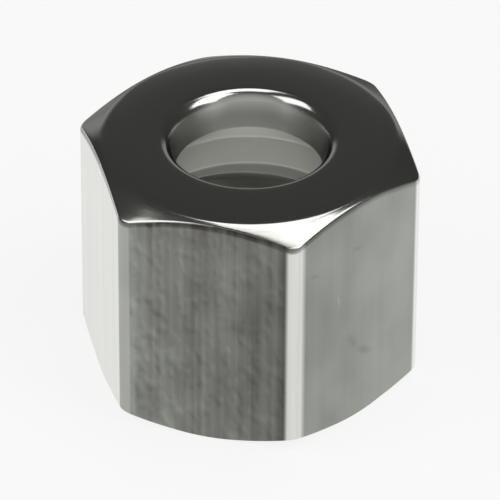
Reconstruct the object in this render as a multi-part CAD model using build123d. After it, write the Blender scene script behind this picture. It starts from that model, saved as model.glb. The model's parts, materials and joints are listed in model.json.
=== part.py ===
from build123d import *

import math
import os

# Union nut of a tube fitting: one piece of hexagon bar, turned at both ends and bored in steps.
# Sizes are in millimetres. The origin is the centre of the thread end, on which the nut stands,
# and +Z runs up the axis to the tube end. Two corners of the hexagon lie on the Y axis.

# Tube hole, in the upper end
tube_diameter = 8.0
tube_clearance = 0.1  # all round the tube
tube_hole_depth = 2.1  # from the end face to where the seat begins
tube_land = 0.5  # straight length of the hole, next to the seat
bell_width = 0.88  # the hole opens like a bell to the end face, by this much all round

# Seat that presses on the cutting ring
seat_half_angle = 45.0

# Thread, bored here at its minor diameter
thread_diameter = 14.0
thread_pitch = 1.5
mouth_margin = 0.2  # the mouth's countersink is this much wider than the thread, all round
mouth_half_angle = 45.0

# Hexagon bar
flat_wall = 1.5  # between the thread and a flat, which gives 17 mm across flats
bar_corner_radius = 0.9  # drawn bar has rounded corners
nut_height = 14.5

# Turned end faces: the chamfers start this far inside the flats
tube_end_inset = 0.31
thread_end_inset = 0.05
end_chamfer_angle = 30.0  # from the end face

# The turned section passes the hexagon's corners by this much, so the bar alone bounds the sides
overrun = 1.0

flat_count = 6
thread_angle = 60.0
thread_height_share = 5 / 8  # height of a metric thread, of its sharp triangle
quarter_turn = 90.0

hole_radius = tube_diameter / 2 + tube_clearance
thread_triangle = thread_pitch / 2 / math.tan(math.radians(thread_angle / 2))
minor_radius = thread_diameter / 2 - thread_height_share * thread_triangle
mouth_radius = thread_diameter / 2 + mouth_margin
flat_radius = thread_diameter / 2 + flat_wall
corner_radius = flat_radius / math.cos(math.pi / flat_count)
bell_depth = tube_hole_depth - tube_land
seat_start = nut_height - tube_hole_depth
seat_end = seat_start - (minor_radius - hole_radius) / math.tan(math.radians(seat_half_angle))
mouth_depth = (mouth_radius - minor_radius) / math.tan(math.radians(mouth_half_angle))


def hexagon_bar():
    # The drawn bar, with a corner at each end of the Y axis
    with BuildPart() as bar:
        with BuildSketch():
            RegularPolygon(flat_radius, flat_count, major_radius=False, rotation=quarter_turn)
            fillet(vertices(), bar_corner_radius)
        extrude(amount=nut_height)
    return bar.part


def turned_form():
    # Everything that the lathe cuts, as one section: end faces, chamfers, bell mouth, seat and bore
    reach = corner_radius + overrun
    chamfer_slope = math.tan(math.radians(end_chamfer_angle))
    tube_face = flat_radius - tube_end_inset
    thread_face = flat_radius - thread_end_inset
    bell_outside = hole_radius + bell_width
    bell_bottom = nut_height - bell_depth
    with BuildPart() as form:
        with BuildSketch(Plane.XZ):
            with BuildLine():
                Polyline(
                    (bell_outside, nut_height),
                    (tube_face, nut_height),
                    (reach, nut_height - (reach - tube_face) * chamfer_slope),
                    (reach, (reach - thread_face) * chamfer_slope),
                    (thread_face, 0),
                    (mouth_radius, 0),
                    (minor_radius, mouth_depth),
                    (minor_radius, seat_end),
                    (hole_radius, seat_start),
                    (hole_radius, bell_bottom),
                )
                EllipticalCenterArc(
                    (bell_outside, bell_bottom), bell_width, bell_depth, quarter_turn, arc_size=quarter_turn
                )
            make_face()
        revolve(axis=Axis.Z)
    return form.part


def union_nut():
    nut = hexagon_bar() & turned_form()
    nut.label = "union_nut"
    return nut


os.makedirs("parts", exist_ok=True)
export_step(union_nut(), "parts/union_nut.step")

print(f"across flats {2 * flat_radius:.2f}, height {nut_height:.2f}")
print(f"tube hole radius {hole_radius:.3f}, wall from {seat_start:.3f} to {seat_start + tube_land:.3f}")
print(f"thread minor radius {minor_radius:.4f}, wall from {mouth_depth:.3f} to {seat_end:.3f}")
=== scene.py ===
import json
import math

import bpy
from mathutils import Matrix, Vector


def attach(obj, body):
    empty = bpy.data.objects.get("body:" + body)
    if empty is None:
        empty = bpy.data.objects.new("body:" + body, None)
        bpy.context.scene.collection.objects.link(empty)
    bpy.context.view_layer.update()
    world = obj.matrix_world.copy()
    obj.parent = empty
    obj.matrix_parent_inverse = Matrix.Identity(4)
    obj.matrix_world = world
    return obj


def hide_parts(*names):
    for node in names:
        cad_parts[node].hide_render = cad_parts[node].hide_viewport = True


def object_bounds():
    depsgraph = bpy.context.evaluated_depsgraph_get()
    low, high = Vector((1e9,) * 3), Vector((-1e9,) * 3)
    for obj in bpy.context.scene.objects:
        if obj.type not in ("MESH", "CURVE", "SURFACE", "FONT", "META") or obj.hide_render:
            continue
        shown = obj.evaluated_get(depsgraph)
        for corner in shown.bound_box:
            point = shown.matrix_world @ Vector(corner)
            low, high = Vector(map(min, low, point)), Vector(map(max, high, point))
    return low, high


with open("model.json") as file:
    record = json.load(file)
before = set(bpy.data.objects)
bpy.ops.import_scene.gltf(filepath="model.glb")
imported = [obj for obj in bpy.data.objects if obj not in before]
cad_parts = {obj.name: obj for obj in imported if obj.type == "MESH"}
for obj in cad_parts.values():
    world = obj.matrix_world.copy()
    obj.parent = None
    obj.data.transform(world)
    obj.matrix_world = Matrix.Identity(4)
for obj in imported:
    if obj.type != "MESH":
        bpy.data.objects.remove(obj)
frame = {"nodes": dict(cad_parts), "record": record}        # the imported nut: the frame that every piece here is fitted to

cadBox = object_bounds()
mm = 0.001
mounts = {mount["name"]: mount for mount in frame["record"]["mounts"]}
print("frame loaded:", sorted(frame["nodes"]))


def colour(hexCode):  # sRGB hex to linear
    channels = [int(hexCode[i:i + 2], 16) / 255 for i in (1, 3, 5)]
    linear = [c / 12.92 if c <= 0.04045 else ((c + 0.055) / 1.055) ** 2.4 for c in channels]
    return (*linear, 1.0)


def addNode(tree, kind, inputs=None, **settings):  # one node, its settings, and its values or links
    node = tree.nodes.new(kind)
    for name, value in settings.items():
        setattr(node, name, value)
    for key, value in (inputs or {}).items():
        if isinstance(value, bpy.types.NodeSocket):
            tree.links.new(value, node.inputs[key])
        else:
            node.inputs[key].default_value = value
    return node


def newMaterial(name):
    material = bpy.data.materials.new(name)
    material.use_nodes = True
    material.node_tree.nodes.clear()
    return material, material.node_tree


# Bright drawn steel: the bar's flats, pulled through a die, so bands, streaks and dents run along the axis
drawnLook = {
    # the last colour is worn steel's and also a painted highlight on the corners and one flat
    "darkSteel": "#494643", "paleSteel": "#bdc1bb", "burnishAndSheen": "#f2f2ee",
    "marks": {   # mm wide and long, noise at both ends, share of the tone, mm high, share on smooth flats
        "cloud": {"size": (2.4, 3.6), "ends": (0.25, 0.75), "tone": 0.15, "high": 0.0, "onSmooth": 1.0},
        "band": {"size": (0.9, 24.0), "ends": (0.2, 0.8), "tone": 0.24, "high": 0.0, "onSmooth": 0.15},
        "streak": {"size": (0.34, 20.0), "ends": (0.3, 0.7), "tone": 0.14, "high": 0.003, "onSmooth": 0.2},
        "dent": {"size": (0.7, 1.2), "ends": (0.47, 0.75), "tone": 0.19, "high": -0.02, "onSmooth": 0.0},
    },
    "markDetail": 1.0,
    "dentShadow": (0.12, 0.0, 0.2),   # mm from a dent's painted highlight side to its painted shade side
    "nicks": {   # single marks: flat, mm along and up it, half their width and length, degrees of lean, tone
        "scuff": (5, -0.35, 5.25, 0.4, 1.1, 31.0, -0.09),
        "scuffFoot": (5, 0.6, 4.2, 0.42, 0.9, 53.0, -0.17),
        "scratch": (5, -1.48, 8.55, 0.12, 0.6, 10.0, 0.15),
        "upperSpeck": (5, -0.08, 11.4, 0.2, 0.55, 65.0, -0.1),
        "leftSpeck": (5, -3.36, 11.15, 0.18, 0.55, 65.0, -0.1),
    },
    "roughness": 0.4, "burnishedRoughness": 0.26,
    "mottle": 0.12,   # share of the burnish and painted highlight that a streak takes away
}


def drawnSteel():
    look = drawnLook
    material, tree = newMaterial("brightDrawnSteel")
    place = addNode(tree, "ShaderNodeTexCoord").outputs["Object"]
    # this attribute is each flat's own tone with painted light and shade: the flat tones, the edge shades and
    # the chamfer's foot line
    tone = addNode(tree, "ShaderNodeAttribute", attribute_name="tone").outputs["Fac"]
    # this attribute is real wear on the corners plus a painted highlight there and on one flat
    wearAndSheen = addNode(tree, "ShaderNodeAttribute", attribute_name="wearAndSheen").outputs["Fac"]
    dented = addNode(tree, "ShaderNodeAttribute", attribute_name="dented").outputs["Fac"]
    relief = 0.0
    for name, mark in look["marks"].items():
        width, length = mark["size"]
        stretch = [1 / (size * mm) for size in (width, width, length)]
        shadow = [gap / size for gap, size in zip(look["dentShadow"], (width, width, length))]
        shifts = (shadow, (0, 0, 0)) if name == "dent" else ((0, 0, 0),)
        sides = [0.5]  # a dent gets a painted shade side and a painted highlight side, other marks vary about this middle
        for shift in shifts:
            moved = addNode(tree, "ShaderNodeMapping", {
                "Vector": place, "Scale": stretch, "Location": shift}).outputs[0]
            noise = addNode(tree, "ShaderNodeTexNoise", {
                "Vector": moved, "Scale": 1.0, "Detail": look["markDetail"]}).outputs[0]
            sides.append(addNode(tree, "ShaderNodeMapRange", {
                "Value": noise, "From Min": mark["ends"][0], "From Max": mark["ends"][1]}).outputs[0])
        share = addNode(tree, "ShaderNodeMapRange", {"Value": dented, "To Min": mark["onSmooth"]}).outputs[0]
        shade = addNode(tree, "ShaderNodeMath", {0: sides[-1], 1: sides[-2]}, operation="SUBTRACT").outputs[0]
        shade = addNode(tree, "ShaderNodeMath", {0: shade, 1: share}, operation="MULTIPLY").outputs[0]
        tone = addNode(tree, "ShaderNodeMath", {0: shade, 1: mark["tone"], 2: tone},
                       operation="MULTIPLY_ADD").outputs[0]
        if mark["high"]:
            shape = addNode(tree, "ShaderNodeMath", {0: sides[-1], 1: share}, operation="MULTIPLY").outputs[0]
            relief = addNode(tree, "ShaderNodeMath", {0: shape, 1: mark["high"], 2: relief},
                             operation="MULTIPLY_ADD").outputs[0]
        if name == "streak":  # burnished steel, and the painted highlight on it, still shows the streaks a little
            mottled = addNode(tree, "ShaderNodeMath", {0: sides[-1], 1: -look["mottle"], 2: 1.0},
                           operation="MULTIPLY_ADD").outputs[0]
            wearAndSheen = addNode(tree, "ShaderNodeMath", {0: wearAndSheen, 1: mottled}, operation="MULTIPLY").outputs[0]
    for flat, along, level, halfWidth, halfLength, lean, change in look["nicks"].values():
        turn = math.tau / nut["flatCount"] * flat
        centre = Matrix.Rotation(turn, 3, "Z") @ Vector((flatRadius, along, level)) * mm
        local = addNode(tree, "ShaderNodeMapping", {
            "Vector": place, "Location": centre, "Rotation": (math.radians(lean), 0, turn),
            "Scale": (halfLength * mm, halfWidth * mm, halfLength * mm)}, vector_type="TEXTURE").outputs[0]
        away = addNode(tree, "ShaderNodeVectorMath", {0: local}, operation="LENGTH").outputs["Value"]
        nick = addNode(tree, "ShaderNodeMapRange", {
            "Value": away, "From Min": 1.0, "From Max": 0.0, "To Max": change},
            interpolation_type="SMOOTHSTEP").outputs[0]
        tone = addNode(tree, "ShaderNodeMath", {0: tone, 1: nick}, operation="ADD").outputs[0]
    steel = addNode(tree, "ShaderNodeMix", {
        "Factor": tone, "A": colour(look["darkSteel"]), "B": colour(look["paleSteel"])},
        data_type="RGBA").outputs["Result"]
    steel = addNode(tree, "ShaderNodeMix", {"Factor": wearAndSheen, "A": steel, "B": colour(look["burnishAndSheen"])},
                    data_type="RGBA").outputs["Result"]
    gloss = addNode(tree, "ShaderNodeMapRange", {
        "Value": wearAndSheen, "To Min": look["roughness"], "To Max": look["burnishedRoughness"]}).outputs[0]
    bump = addNode(tree, "ShaderNodeBump", {"Height": relief, "Distance": mm}).outputs[0]
    shader = addNode(tree, "ShaderNodeBsdfPrincipled", {
        "Base Color": steel, "Metallic": 1.0, "Roughness": gloss, "Normal": bump}).outputs[0]
    addNode(tree, "ShaderNodeOutputMaterial", {"Surface": shader})
    return material


# Turned steel: smooth ends and rim, with tool rings drawn coarser than the real feed so that they show
turnedLook = {
    "steel": "#c6c6c2", "ringDark": "#bcbcb8", "grazing": "#606060",   # the last one where it is seen edge on
    "ringWidth": 0.12, "ringDepth": 0.003,   # mm
    "ringDetail": 3.0, "ringStrength": 0.4,
    "roughness": 0.15, "boredRoughness": 0.34,   # the bell mouth's wall was bored, and is duller
    "boredStretch": 0.9,   # how far its rings draw a shine out along the axis
}

# Tapped steel: the bore, dull from the boring tool and the tap, with painted highlights on the crests and
# painted shade in the grooves
tappedLook = {
    "steel": "#f0f0ea",
    "ringWidth": 0.2, "ringDepth": 0.012,   # mm, again coarser than the real feed
    "ringDetail": 3.0, "ringStrength": 0.4,
    "roughness": 0.55, "stretch": 0.6,
    "thread": {   # painted highlight and shade at each share of the groove's depth
        0.0: "#eaeaea", 0.14: "#eaeaea", 0.22: "#ffffff", 0.3: "#9c9c9c", 0.7: "#b4b4b4", 1.0: "#ffffff",
    },
}
quarterTurn = 0.25   # the rings run round the axis, and their shine runs along it


def toolRings(tree, look):  # noise by radius and height alone
    place = addNode(tree, "ShaderNodeTexCoord").outputs["Object"]
    x, y, z = addNode(tree, "ShaderNodeSeparateXYZ", {0: place}).outputs
    flat = addNode(tree, "ShaderNodeCombineXYZ", {0: x, 1: y}).outputs[0]
    radius = addNode(tree, "ShaderNodeVectorMath", {0: flat}, operation="LENGTH").outputs["Value"]
    ringPlace = addNode(tree, "ShaderNodeCombineXYZ", {0: radius, 1: z}).outputs[0]
    return addNode(tree, "ShaderNodeTexNoise", {
        "Vector": ringPlace, "Scale": 1 / (look["ringWidth"] * mm), "Detail": look["ringDetail"]}).outputs[0]


def ringedMetal(tree, look, rings):  # what the rings give any shader
    bump = addNode(tree, "ShaderNodeBump", {
        "Height": rings, "Strength": look["ringStrength"], "Distance": look["ringDepth"] * mm}).outputs[0]
    around = addNode(tree, "ShaderNodeTangent", direction_type="RADIAL", axis="Z").outputs[0]
    return {"Metallic": 1.0, "Normal": bump, "Anisotropic Rotation": quarterTurn, "Tangent": around}


def turnedSteel():
    look = turnedLook
    material, tree = newMaterial("turnedSteel")
    rings = toolRings(tree, look)
    bored = addNode(tree, "ShaderNodeAttribute", attribute_name="bored").outputs["Fac"]
    steel = addNode(tree, "ShaderNodeMix", {
        "Factor": rings, "A": colour(look["ringDark"]), "B": colour(look["steel"])},
        data_type="RGBA").outputs["Result"]
    steel = addNode(tree, "ShaderNodeMix", {"Factor": bored, "A": steel, "B": colour(look["steel"])},
                    data_type="RGBA").outputs["Result"]
    gloss = addNode(tree, "ShaderNodeMapRange", {
        "Value": bored, "To Min": look["roughness"], "To Max": look["boredRoughness"]}).outputs[0]
    stretch = addNode(tree, "ShaderNodeMath", {0: bored, 1: look["boredStretch"]},
                      operation="MULTIPLY").outputs[0]
    shader = addNode(tree, "ShaderNodeBsdfPrincipled", {
        "Base Color": steel, "Roughness": gloss, "Anisotropic": stretch,
        "Specular Tint": colour(look["grazing"]), **ringedMetal(tree, look, rings)}).outputs[0]
    addNode(tree, "ShaderNodeOutputMaterial", {"Surface": shader})
    return material


def tappedSteel():
    look = tappedLook
    material, tree = newMaterial("tappedSteel")
    groove = addNode(tree, "ShaderNodeAttribute", attribute_name="groove").outputs["Fac"]
    ramp = addNode(tree, "ShaderNodeValToRGB", {"Fac": groove})
    stops = ramp.color_ramp.elements
    while len(stops) < len(look["thread"]):
        stops.new(0.5)
    for stop, (depth, shade) in zip(stops, look["thread"].items()):
        stop.position = depth
        stop.color = colour(shade)
    steel = addNode(tree, "ShaderNodeMix", {
        "Factor": 1.0, "A": colour(look["steel"]), "B": ramp.outputs["Color"]},
        data_type="RGBA", blend_type="MULTIPLY").outputs["Result"]
    shader = addNode(tree, "ShaderNodeBsdfPrincipled", {
        "Base Color": steel, "Roughness": look["roughness"], "Anisotropic": look["stretch"],
        **ringedMetal(tree, look, toolRings(tree, look))}).outputs[0]
    addNode(tree, "ShaderNodeOutputMaterial", {"Surface": shader})
    return material


# The nut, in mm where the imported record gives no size; flats count from +X, each with the corner after it
nut = {
    "flatCount": 6,
    "barCornerRadius": 0.9,
    "chamferAngle": 30.0,   # degrees
    "tubeEndInset": 0.31, "threadEndInset": 0.05,   # from the flats to each end face's edge
    "bellWidth": 0.88, "bellSteps": 18, "boredSlopes": (26.0, 36.0),   # degrees, where the bell turns dull
    "faceCrown": 0.05, "crownPower": 3,   # the tumbled end face falls this much towards its edge, ever faster
    "holeEdgeRadius": 0.1, "faceEdgeRadius": 0.8, "chamferEdgeRadius": 0.32,
    "holeEdgeSteps": 4, "faceEdgeSteps": 5, "chamferEdgeSteps": 8, "lowFaceEdgeSteps": 4,
    "threadPitch": 1.5, "threadDiameter": 14.0,
    "mouthMargin": 0.2, "mouthFade": 0.2,   # the countersink past the thread, and how its cut fades into it
    "plainWall": 2.25,   # below the seat, where the thread hasn't started yet
    "paintedBand": (0.83, 0.38), "bandShade": 0.285,   # above the thread's start, where a painted highlight turns to painted shade: bright, then dull
    "runOut": 0.5,       # over which the thread gets its depth
    "threadPhase": 0.177, "spareTurns": 2,
    # each flat's own tone at its start and end, with painted light and shade: lighter or darker as each flat
    # reflects its surroundings
    "flatToneAndShade": ((0.46, 0.55), (0.55, 0.46), (0.51, 0.64), (0.82, 0.77), (0.4, 0.22), (0.51, 0.72)),
    # painted highlight: the share of each flat made pale and glossier as if it shone
    "flatSheen": (0.0, 0.0, 0.0, 0.88, 0.0, 0.0),
    "flatDents": ((0.5, 0.4), (0.4, 0.5), (0.5, 0.3), (0.3, 0.3), (1.05, 0.5), (0.0, 0.0)),
    # each corner's wear, made paler still as a painted highlight on its rounding
    "cornerWearAndSheen": (0.5, 0.4, 0.6, 0.04, 0.82, 1.0),
    "edgeShades": (0.3, 0.3, 0.3, 0.0, 0.5, 0.0),   # mm of each flat that carries painted shade beside its corner
    "wearAndSheenRise": 0.2, "wearAndSheenFade": 0.3,   # share of a corner over which its wear and painted highlight rise, and mm of the next flat over which they fade
    "lineTones": ((0.3, 0.3), (0.3, 0.3), (0.3, 0.3), (0.3, 0.5), (0.4, 0.08), (0.5, 0.7)),   # painted shade line at the chamfer's foot: the share of tone, wear and sheen kept there
    "shineRows": ((4, 4), (4, 4), (4, 4), (4, 5), (5, 2), (4, 4)),   # of its rounding's rows, how many shine; the rest carry the painted shade line
    "flatSteps": 30, "flatGuard": 0.08, "cornerSteps": 10, "faceSteps": 9,
    "mergeDistance": 0.001, "normalWeight": 100,
}
thirds = (1 / 3, 2 / 3, 1)
flatShares = (0.012, 0.04, 0.2, 0.4, 0.6, 0.8, 0.97, 1.0)   # rows down a flat
finishNumbers = {"drawn": 0, "turned": 1, "tapped": 2}      # in the order of the nut's materials
crestShares = (0.0, 0.06, 0.115, 0.135)                     # of a pitch, from the crest's middle
flankShares = (0.21, 0.29, 0.37, 0.43, 0.445, 0.5)
crestWidth, rootWidth = 0.25, 0.125                         # of a pitch, as in any metric thread

height = (cadBox[1].z - cadBox[0].z) / mm
flatRadius = (cadBox[1].x - cadBox[0].x) / 2 / mm
holeRadius = mounts["tube_hole"]["dims"]["r_mm"]
minorRadius = mounts["thread"]["dims"]["r_mm"]
seatStart = mounts["tube_hole"]["pos_m"][2] / mm - mounts["tube_hole"]["dims"]["length_mm"] / 2
bellBottom = seatStart + mounts["tube_hole"]["dims"]["length_mm"]
seatEnd = mounts["thread"]["pos_m"][2] / mm + mounts["thread"]["dims"]["length_mm"] / 2
mouthRadius = nut["threadDiameter"] / 2 + nut["mouthMargin"]


def between(ends, share):
    return ends[0] + (ends[1] - ends[0]) * share


def barColumns():  # the bar's outline as (angle, radius, shine, look), each flat and then its corner
    step = math.tau / nut["flatCount"]
    corner = nut["barCornerRadius"]
    half = (flatRadius - corner) * math.tan(step / 2)
    inner = half - nut["flatGuard"]
    along = [-half] + [-inner + 2 * inner * i / nut["flatSteps"] for i in range(nut["flatSteps"] + 1)]
    cornerDistance = (flatRadius - corner) / math.cos(step / 2)
    middle = Vector((math.cos(step / 2), math.sin(step / 2))) * cornerDistance
    columns = []
    for k in range(nut["flatCount"]):
        after = (k + 1) % nut["flatCount"]
        points = []
        for t in along:
            share = (t + half) / (2 * half)
            tone = between(nut["flatToneAndShade"][k], share)
            if half - t < nut["edgeShades"][k]:  # painted shade where the flat rolls over to the corner
                tone *= (half - t) / nut["edgeShades"][k]
            fade = max(0, 1 - (t + half) / nut["wearAndSheenFade"])
            wearAndSheen = max(nut["flatSheen"][k], nut["cornerWearAndSheen"][k - 1] * fade)
            dents = between(nut["flatDents"][k], share)
            line = between(nut["lineTones"][k], share)
            shine = round(between(nut["shineRows"][k], share))
            points.append((Vector((flatRadius, t)), shine, (tone, wearAndSheen, dents, line)))
        shines, lines = [(nut[name][k][1], nut[name][after][0]) for name in ("shineRows", "lineTones")]
        for i in range(nut["cornerSteps"]):
            share = i / nut["cornerSteps"]
            wearAndSheen = nut["cornerWearAndSheen"][k] * min(1, share / nut["wearAndSheenRise"])
            outwards = Vector((math.cos(step * share), math.sin(step * share)))
            points.append((middle + corner * outwards, round(between(shines, share)),
                           (nut["flatToneAndShade"][k][1], wearAndSheen, 0.0, between(lines, share))))
        columns += [(k * step + math.atan2(p.y, p.x), p.length, shine, look) for p, shine, look in points]
    return columns


def roundedCorner(before, corner, after, radius, steps):  # an arc that is tangent to both runs
    toBefore = (before - corner).normalized()
    toAfter = (after - corner).normalized()
    opening = toBefore.angle(toAfter)
    reach = radius / math.tan(opening / 2)
    centre = corner + (toBefore + toAfter).normalized() * radius / math.sin(opening / 2)
    start = corner + toBefore * reach - centre
    end = corner + toAfter * reach - centre
    sweep = math.pi - opening
    points = []
    for i in range(steps + 1):
        share = i / steps
        points.append(centre + (start * math.sin((1 - share) * sweep)
                                + end * math.sin(share * sweep)) / math.sin(sweep))
    return points


def bellMouth():  # a quarter of an ellipse in equal turns of its slope, with how dull each point is
    depth = height - bellBottom
    dull, smooth = nut["boredSlopes"]
    points, bored = [], []
    for i in range(nut["bellSteps"] + 1):
        slope = 90 * i / nut["bellSteps"]
        turn = math.radians(slope)
        t = math.atan2(math.sin(turn) * depth, math.cos(turn) * nut["bellWidth"])
        radius = holeRadius + nut["bellWidth"] * (1 - math.cos(t))
        points.append(Vector((radius, bellBottom + depth * math.sin(t))))
        bored.append(min(1, max(0, (smooth - slope) / (smooth - dull))))
    return points, bored


def sectionRows(barRadius, shine):  # one column's section from the seat, over the top and down to the mouth
    chamfer = math.radians(nut["chamferAngle"])
    topFace, lowFace = flatRadius - nut["tubeEndInset"], flatRadius - nut["threadEndInset"]
    faceEdge = height - nut["faceCrown"]
    outline = [Vector(p) for p in (
        (minorRadius, seatEnd), (holeRadius, seatStart), (holeRadius, bellBottom),
        (holeRadius + nut["bellWidth"], height), (topFace, faceEdge),
        (barRadius, faceEdge - (barRadius - topFace) * math.tan(chamfer)),
        (barRadius, (barRadius - lowFace) * math.tan(chamfer)), (lowFace, 0), (mouthRadius, 0))]
    rows = [(outline[0], "turned", False, 1.0)]  # place, finish before it, on the painted shade line, how dull

    def rounded(i, radius, steps, face=None):  # both roundings of a chamfer have to fit on it
        room = min(radius, (barRadius - face) / math.cos(chamfer)) if face else radius
        return roundedCorner(*outline[i - 1:i + 2], room, steps)

    def addRows(places, finish, bored=0.0, onLine=False):
        rows.extend((place, finish, onLine, bored) for place in places)

    def run(end, shares, finish, bored=0.0):  # straight on to that end
        start = rows[-1][0]
        addRows([start.lerp(end, share) for share in shares], finish, bored)

    edge = rounded(1, nut["holeEdgeRadius"], nut["holeEdgeSteps"])
    run(edge[0], thirds, "tapped", 1.0)
    addRows(edge[1:], "turned", 1.0)
    bell, bellBored = bellMouth()
    run(bell[0], thirds, "turned", 1.0)
    for place, bored in zip(bell[1:], bellBored[1:]):
        addRows([place], "turned", bored)
    rim = bell[-1]
    edge = rounded(4, nut["faceEdgeRadius"], nut["faceEdgeSteps"], topFace)
    for i in range(1, nut["faceSteps"] + 1):
        share = i / nut["faceSteps"]
        level = between((rim.y, edge[0].y), share ** nut["crownPower"])
        addRows([Vector((between((rim.x, edge[0].x), share), level))], "turned")
    addRows(edge[1:], "turned")
    edge = rounded(5, nut["chamferEdgeRadius"], nut["chamferEdgeSteps"], topFace)
    run(edge[0], thirds, "turned")
    addRows(edge[1:shine], "turned")
    addRows(edge[shine:], "drawn", onLine=True)  # a painted shade line where the chamfer ends
    edge = rounded(6, nut["chamferEdgeRadius"], nut["chamferEdgeSteps"], lowFace)
    run(edge[0], flatShares, "drawn")
    addRows(edge[1:], "drawn")
    edge = rounded(7, nut["faceEdgeRadius"], nut["lowFaceEdgeSteps"], lowFace)
    run(edge[0], thirds, "turned")
    addRows(edge[1:], "turned")
    run(outline[8], thirds, "turned")
    return rows


def nutBlank():  # the nut's mesh with a plain bore, whose rows already follow the thread
    columns = [(angle, sectionRows(radius, shine), look) for angle, radius, shine, look in barColumns()]
    count, rowCount = len(columns), len(columns[0][1])
    places, faces, finishes = [], [], []
    looks = {"tone": [], "wearAndSheen": [], "dented": [], "bored": []}

    def addPoint(angle, radius, level, look):
        places.append((radius * math.cos(angle), radius * math.sin(angle), level))
        for name, value in zip(looks, look):
            looks[name].append(value)

    for angle, rows, (tone, wearAndSheen, dents, line) in columns:
        for place, _, onLine, bored in rows:
            share = line if onLine else 1
            addPoint(angle, place.x, place.y, (tone * share, wearAndSheen * share, dents, bored))
    for j, (_, rows, _) in enumerate(columns):
        start, nextStart = j * rowCount, (j + 1) % count * rowCount
        for i, (_, finish, _, _) in enumerate(rows[1:]):
            faces.append((start + i, start + i + 1, nextStart + i + 1, nextStart + i))
            finishes.append(finishNumbers[finish])
    outside = len(places)
    half = crestShares + flankShares
    shares = list(half) + [1 - s for s in reversed(half[1:-1])]
    perTurn = len(shares)
    turns = math.ceil(seatEnd / nut["threadPitch"]) + nut["spareTurns"]
    used = {}

    def level(row, j):  # a row climbs one pitch in a turn
        turn, k = divmod(row, perTurn)
        climb = turn - 1 + shares[k] + columns[j][0] / math.tau + nut["threadPhase"]
        return climb * nut["threadPitch"]

    def borePoint(row, j):
        if (row, j) not in used:
            used[row, j] = len(places)
            addPoint(columns[j][0], minorRadius, min(max(level(row, j), 0), seatEnd), (0.0, 0.0, 0.0, 1.0))
        return used[row, j]

    for j in range(count):
        nextColumn = (j + 1) % count
        ahead = perTurn if nextColumn == 0 else 0  # past the seam, a row goes on as the next turn's
        for row in range(-perTurn, turns * perTurn):
            ring = [(row, j), (row + 1, j), (row + 1 + ahead, nextColumn), (row + ahead, nextColumn)]
            levels = [level(*corner) for corner in ring]
            if max(levels) > 0 and min(levels) < seatEnd:
                faces.append([borePoint(*corner) for corner in ring])
                finishes.append(finishNumbers["tapped"])
    tapped = [False] * outside + [True] * (len(places) - outside)
    mesh = bpy.data.meshes.new("unionNutBlank")
    mesh.from_pydata([Vector(p) * mm for p in places], [], faces)
    mesh.attributes.new("tapped", "BOOLEAN", "POINT").data.foreach_set("value", tapped)
    for name, values in looks.items():
        mesh.attributes.new(name, "FLOAT", "POINT").data.foreach_set("value", values)
    mesh.attributes.new("finish", "INT", "FACE").data.foreach_set("value", finishes)
    print("nut blank:", len(places), "points,", len(faces), "faces")
    return mesh


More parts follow.
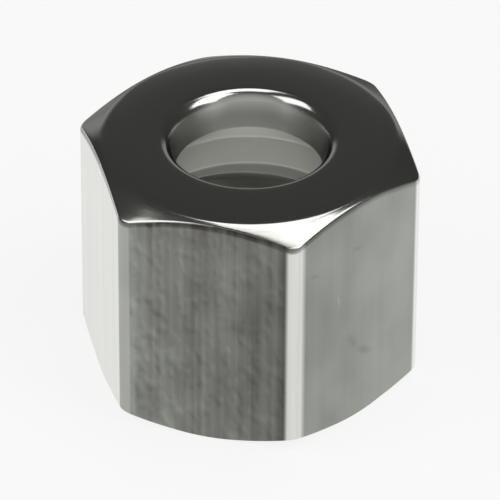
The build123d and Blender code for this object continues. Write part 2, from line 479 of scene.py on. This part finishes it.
def threadTree(materials, sizes):  # moves the bore's points onto a right-hand metric thread
    tree = bpy.data.node_groups.new("tapThread", "GeometryNodeTree")
    tree.interface.new_socket("Geometry", in_out="INPUT", socket_type="NodeSocketGeometry")
    for name in sizes:
        tree.interface.new_socket(name, in_out="INPUT", socket_type="NodeSocketFloat")
    tree.interface.new_socket("Geometry", in_out="OUTPUT", socket_type="NodeSocketGeometry")
    given = addNode(tree, "NodeGroupInput").outputs
    place = addNode(tree, "GeometryNodeInputPosition").outputs[0]
    x, y, z = addNode(tree, "ShaderNodeSeparateXYZ", {0: place}).outputs

    # How far across a groove each point lies: 0 in a crest's middle, 1 in a root's
    angle = addNode(tree, "ShaderNodeMath", {0: y, 1: x}, operation="ARCTAN2").outputs[0]
    turn = addNode(tree, "ShaderNodeMath", {0: angle, 1: math.tau}, operation="DIVIDE").outputs[0]
    climb = addNode(tree, "ShaderNodeMath", {0: z, 1: given["Pitch"]}, operation="DIVIDE").outputs[0]
    climb = addNode(tree, "ShaderNodeMath", {0: climb, 1: turn}, operation="SUBTRACT").outputs[0]
    climb = addNode(tree, "ShaderNodeMath", {0: climb, 1: given["Phase"]}, operation="SUBTRACT").outputs[0]
    phase = addNode(tree, "ShaderNodeMath", {0: climb}, operation="FRACT").outputs[0]
    wave = addNode(tree, "ShaderNodeMath", {0: phase, 1: 2.0, 2: -1.0}, operation="MULTIPLY_ADD").outputs[0]
    wave = addNode(tree, "ShaderNodeMath", {0: wave}, operation="ABSOLUTE").outputs[0]
    groove = addNode(tree, "ShaderNodeMath", {0: 1.0, 1: wave}, operation="SUBTRACT").outputs[0]

    # The wall's radius there, with the run-out above and the countersink below
    rootEdge = addNode(tree, "ShaderNodeMath", {0: 1.0, 1: given["Root Width"]},
                       operation="SUBTRACT").outputs[0]
    flank = addNode(tree, "ShaderNodeMapRange", {
        "Value": groove, "From Min": given["Crest Width"], "From Max": rootEdge}).outputs[0]
    bite = addNode(tree, "ShaderNodeMapRange", {
        "Value": z, "From Min": given["Run Out Top"], "From Max": given["Run Out Bottom"]}).outputs[0]
    depth = addNode(tree, "ShaderNodeMath", {0: flank, 1: bite}, operation="MULTIPLY").outputs[0]
    wall = addNode(tree, "ShaderNodeMath", {0: depth, 1: given["Thread Depth"], 2: given["Minor Radius"]},
                   operation="MULTIPLY_ADD").outputs[0]
    mouth = addNode(tree, "ShaderNodeMath", {0: given["Mouth Radius"], 1: z},
                    operation="SUBTRACT").outputs[0]

    # The groove's depth for the material, with a painted highlight band above the thread's start
    left = addNode(tree, "ShaderNodeMath", {0: wall, 1: mouth}, operation="SUBTRACT").outputs[0]
    cut = addNode(tree, "ShaderNodeMapRange", {"Value": left, "From Max": given["Mouth Fade"]}).outputs[0]
    cut = addNode(tree, "ShaderNodeMath", {0: cut, 1: bite}, operation="MULTIPLY").outputs[0]
    cut = addNode(tree, "ShaderNodeMath", {0: cut, 1: groove}, operation="MULTIPLY").outputs[0]
    paintedBand = addNode(tree, "ShaderNodeMapRange", {
        "Value": z, "From Min": given["Band Top"], "From Max": given["Band Bottom"],
        "To Max": given["Band Shade"]}).outputs[0]
    above = addNode(tree, "ShaderNodeMath", {0: z, 1: given["Run Out Bottom"]},
                    operation="GREATER_THAN").outputs[0]
    paintedBand = addNode(tree, "ShaderNodeMath", {0: paintedBand, 1: above}, operation="MULTIPLY").outputs[0]
    cut = addNode(tree, "ShaderNodeMath", {0: paintedBand, 1: cut}, operation="MAXIMUM").outputs[0]

    # The bore's points move to that radius, and the seams close
    wall = addNode(tree, "ShaderNodeMath", {0: wall, 1: mouth}, operation="MAXIMUM").outputs[0]
    across = addNode(tree, "ShaderNodeMath", {0: angle}, operation="COSINE").outputs[0]
    across = addNode(tree, "ShaderNodeMath", {0: across, 1: wall}, operation="MULTIPLY").outputs[0]
    back = addNode(tree, "ShaderNodeMath", {0: angle}, operation="SINE").outputs[0]
    back = addNode(tree, "ShaderNodeMath", {0: back, 1: wall}, operation="MULTIPLY").outputs[0]
    moved = addNode(tree, "ShaderNodeCombineXYZ", {0: across, 1: back, 2: z}).outputs[0]
    tapped = addNode(tree, "GeometryNodeInputNamedAttribute", {"Name": "tapped"},
                     data_type="BOOLEAN").outputs["Attribute"]
    shape = addNode(tree, "GeometryNodeStoreNamedAttribute", {
        "Geometry": given["Geometry"], "Name": "groove", "Value": cut, "Selection": tapped}).outputs[0]
    shape = addNode(tree, "GeometryNodeSetPosition", {
        "Geometry": shape, "Position": moved, "Selection": tapped}).outputs[0]
    shape = addNode(tree, "GeometryNodeMergeByDistance", {
        "Geometry": shape, "Distance": given["Merge Distance"]}).outputs[0]
    shape = addNode(tree, "GeometryNodeRealizeInstances", {"Geometry": shape}).outputs[0]
    finish = addNode(tree, "GeometryNodeInputNamedAttribute", {"Name": "finish"},
                     data_type="INT").outputs["Attribute"]
    for number, material in enumerate(materials):
        chosen = addNode(tree, "FunctionNodeCompare", {2: finish, 3: number},
                         data_type="INT", operation="EQUAL").outputs[0]
        shape = addNode(tree, "GeometryNodeSetMaterial", {
            "Geometry": shape, "Material": material, "Selection": chosen}).outputs[0]
    addNode(tree, "NodeGroupOutput", {"Geometry": shape})
    return tree


def makeNut():
    runOutTop = seatEnd - nut["plainWall"]
    bandTop, bandBottom = nut["paintedBand"]
    sizes = {
        "Pitch": nut["threadPitch"] * mm, "Phase": nut["threadPhase"],
        "Crest Width": crestWidth, "Root Width": rootWidth,
        "Minor Radius": minorRadius * mm, "Thread Depth": (nut["threadDiameter"] / 2 - minorRadius) * mm,
        "Run Out Top": runOutTop * mm, "Run Out Bottom": (runOutTop - nut["runOut"]) * mm,
        "Band Top": (runOutTop + bandTop) * mm, "Band Bottom": (runOutTop + bandBottom) * mm,
        "Band Shade": nut["bandShade"], "Mouth Radius": mouthRadius * mm, "Mouth Fade": nut["mouthFade"] * mm,
        "Merge Distance": nut["mergeDistance"] * mm,
    }
    tree = threadTree([drawnSteel(), turnedSteel(), tappedSteel()], sizes)
    blank = bpy.data.objects.new("unionNutBlank", nutBlank())
    bpy.context.scene.collection.objects.link(blank)
    modifier = blank.modifiers.new("tapThread", "NODES")
    modifier.node_group = tree
    for socket in tree.interface.items_tree:
        if socket.in_out == "INPUT" and socket.name in sizes:
            modifier[socket.identifier] = sizes[socket.name]
    weighted = blank.modifiers.new("weightedNormals", "WEIGHTED_NORMAL")
    weighted.weight = nut["normalWeight"]
    weighted.keep_sharp = True
    blank.data.shade_smooth()
    graph = bpy.context.evaluated_depsgraph_get()
    mesh = bpy.data.meshes.new_from_object(blank.evaluated_get(graph), depsgraph=graph)
    bpy.data.objects.remove(blank)
    mesh.name = "unionNut"
    piece = bpy.data.objects.new("unionNut", mesh)
    bpy.context.scene.collection.objects.link(piece)
    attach(piece, "root")
    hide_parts("union_nut")
    print("union nut:", len(mesh.vertices), "points,", len(mesh.polygons), "faces")


# Camera, fitted to the edges of the nut
view = {
    "azimuth": -14.8, "elevation": 35.6, "roll": 0.3,   # degrees
    "distance": 322.0,                                  # mm from the nut's middle
    "pixelsPerMm": 17.93, "middlePixel": (248.2, 244.3), "imageSize": 500, "sensor": 36.0,
    "clip": (0.01, 20.0),                               # metres
}


def makeCamera():
    azimuth, elevation = math.radians(view["azimuth"]), math.radians(view["elevation"])
    back = Vector((math.sin(azimuth) * math.cos(elevation), -math.cos(azimuth) * math.cos(elevation),
                   math.sin(elevation)))
    right = Vector((math.cos(azimuth), math.sin(azimuth), 0))
    up = back.cross(right)
    roll = math.radians(view["roll"])
    sideways = right * math.cos(roll) + up * math.sin(roll)
    upwards = up * math.cos(roll) - right * math.sin(roll)
    centrePixel = (view["imageSize"] - 1) / 2
    offset = [(centrePixel - p) / view["pixelsPerMm"] for p in view["middlePixel"]]
    aim = Vector((0, 0, height / 2)) + sideways * offset[0] - upwards * offset[1]
    place = aim + back * view["distance"]
    data = bpy.data.cameras.new("camera")
    data.sensor_width = view["sensor"]
    data.lens = view["pixelsPerMm"] * view["distance"] / view["imageSize"] * view["sensor"]
    data.clip_start, data.clip_end = view["clip"]
    camera = bpy.data.objects.new("camera", data)
    bpy.context.scene.collection.objects.link(camera)
    turn = Matrix((sideways, upwards, back)).transposed().to_4x4()
    camera.matrix_world = Matrix.Translation(place * mm) @ turn
    bpy.context.scene.camera = camera
    print("camera:", round(data.lens), "mm lens")


# Stage: a matt white table, soft panels overhead and at both sides, and a room that is darker behind
stage = {
    "floorSize": 6.0, "floorWhite": "#fcfcfa", "floorGlow": 0.84,   # metres, sRGB, share of plain white
    "roomFront": "#cccccc", "roomBack": "#464646",
    "frontEnds": (0.2, 0.95),   # how far to the front of a unit globe the room turns pale
    "roomLow": "#c4c4c4",       # a paler band, low behind the nut
    "lowEnds": (0.62, 0.2), "behindEnds": (-0.82, -0.9),
    "panels": {   # degrees right of the camera and up, metres away, to the right, wide and high, radiance
        "topPanel": (0.0, 99.0, 1.4, 0.13, 0.8, 0.8, 2.1),
        "rightPanel": (69.0, 52.0, 1.5, 0.0, 0.9, 1.0, 2.4),
        "leftPanel": (-74.0, 47.0, 1.5, 0.0, 1.0, 0.7, 1.9),
    },
}


def makeFloor():
    half = stage["floorSize"] / 2
    corners = [(-half, -half, 0), (half, -half, 0), (half, half, 0), (-half, half, 0)]
    mesh = bpy.data.meshes.new("floor")
    mesh.from_pydata(corners, [], [(0, 1, 2, 3)])
    floor = bpy.data.objects.new("floor", mesh)
    bpy.context.scene.collection.objects.link(floor)
    material, tree = newMaterial("mattWhiteTable")
    matt = addNode(tree, "ShaderNodeBsdfDiffuse", {"Color": colour(stage["floorWhite"])}).outputs[0]
    glow = addNode(tree, "ShaderNodeEmission", {"Strength": 1.0}).outputs[0]
    ray = addNode(tree, "ShaderNodeLightPath").outputs
    seen = ray["Is Camera Ray"]
    for name in ("Is Glossy Ray", "Is Transmission Ray"):
        seen = addNode(tree, "ShaderNodeMath", {0: seen, 1: ray[name]}, operation="MAXIMUM").outputs[0]
    share = addNode(tree, "ShaderNodeMath", {0: seen, 1: stage["floorGlow"]},
                    operation="MULTIPLY").outputs[0]
    mixed = addNode(tree, "ShaderNodeMixShader", {0: share, 1: matt, 2: glow}).outputs[0]
    addNode(tree, "ShaderNodeOutputMaterial", {"Surface": mixed})
    mesh.materials.append(material)


def makeRoom(front):
    world = bpy.data.worlds.new("room")
    bpy.context.scene.world = world
    world.use_nodes = True
    tree = world.node_tree
    tree.nodes.clear()
    direction = addNode(tree, "ShaderNodeTexCoord").outputs["Generated"]
    facing = addNode(tree, "ShaderNodeVectorMath", {0: direction, 1: front},
                     operation="DOT_PRODUCT").outputs["Value"]
    up = addNode(tree, "ShaderNodeSeparateXYZ", {0: direction}).outputs["Z"]
    shares = {}
    for name, value in (("frontEnds", facing), ("lowEnds", up), ("behindEnds", facing)):
        shares[name] = addNode(tree, "ShaderNodeMapRange", {
            "Value": value, "From Min": stage[name][0], "From Max": stage[name][1]},
            interpolation_type="SMOOTHSTEP").outputs[0]
    tone = addNode(tree, "ShaderNodeMix", {
        "Factor": shares["frontEnds"], "A": colour(stage["roomBack"]), "B": colour(stage["roomFront"])},
        data_type="RGBA").outputs["Result"]
    band = addNode(tree, "ShaderNodeMath", {0: shares["lowEnds"], 1: shares["behindEnds"]},
                   operation="MULTIPLY").outputs[0]
    tone = addNode(tree, "ShaderNodeMix", {"Factor": band, "A": tone, "B": colour(stage["roomLow"])},
                   data_type="RGBA").outputs["Result"]
    air = addNode(tree, "ShaderNodeBackground", {"Color": tone}).outputs[0]
    addNode(tree, "ShaderNodeOutputWorld", {"Surface": air})


def makeStage():
    makeFloor()
    front = math.radians(view["azimuth"])
    makeRoom((math.sin(front), -math.cos(front), 0))
    for name, (side, up, distance, slide, width, tall, radiance) in stage["panels"].items():
        lamp = bpy.data.lights.new(name, "AREA")
        lamp.shape = "RECTANGLE"
        lamp.size, lamp.size_y = width, tall
        lamp.energy = radiance * math.pi * width * tall
        panel = bpy.data.objects.new(name, lamp)
        aside = Matrix.Rotation(front + math.radians(side), 4, "Z")
        tilt = Matrix.Rotation(math.radians(90 - up), 4, "X")
        panel.matrix_world = aside @ tilt @ Matrix.Translation((slide, 0, distance))
        bpy.context.scene.collection.objects.link(panel)
    print("stage lit:", ", ".join(stage["panels"]))


makeCamera()
makeNut()
makeStage()
bpy.context.scene.view_settings.view_transform = "Standard"
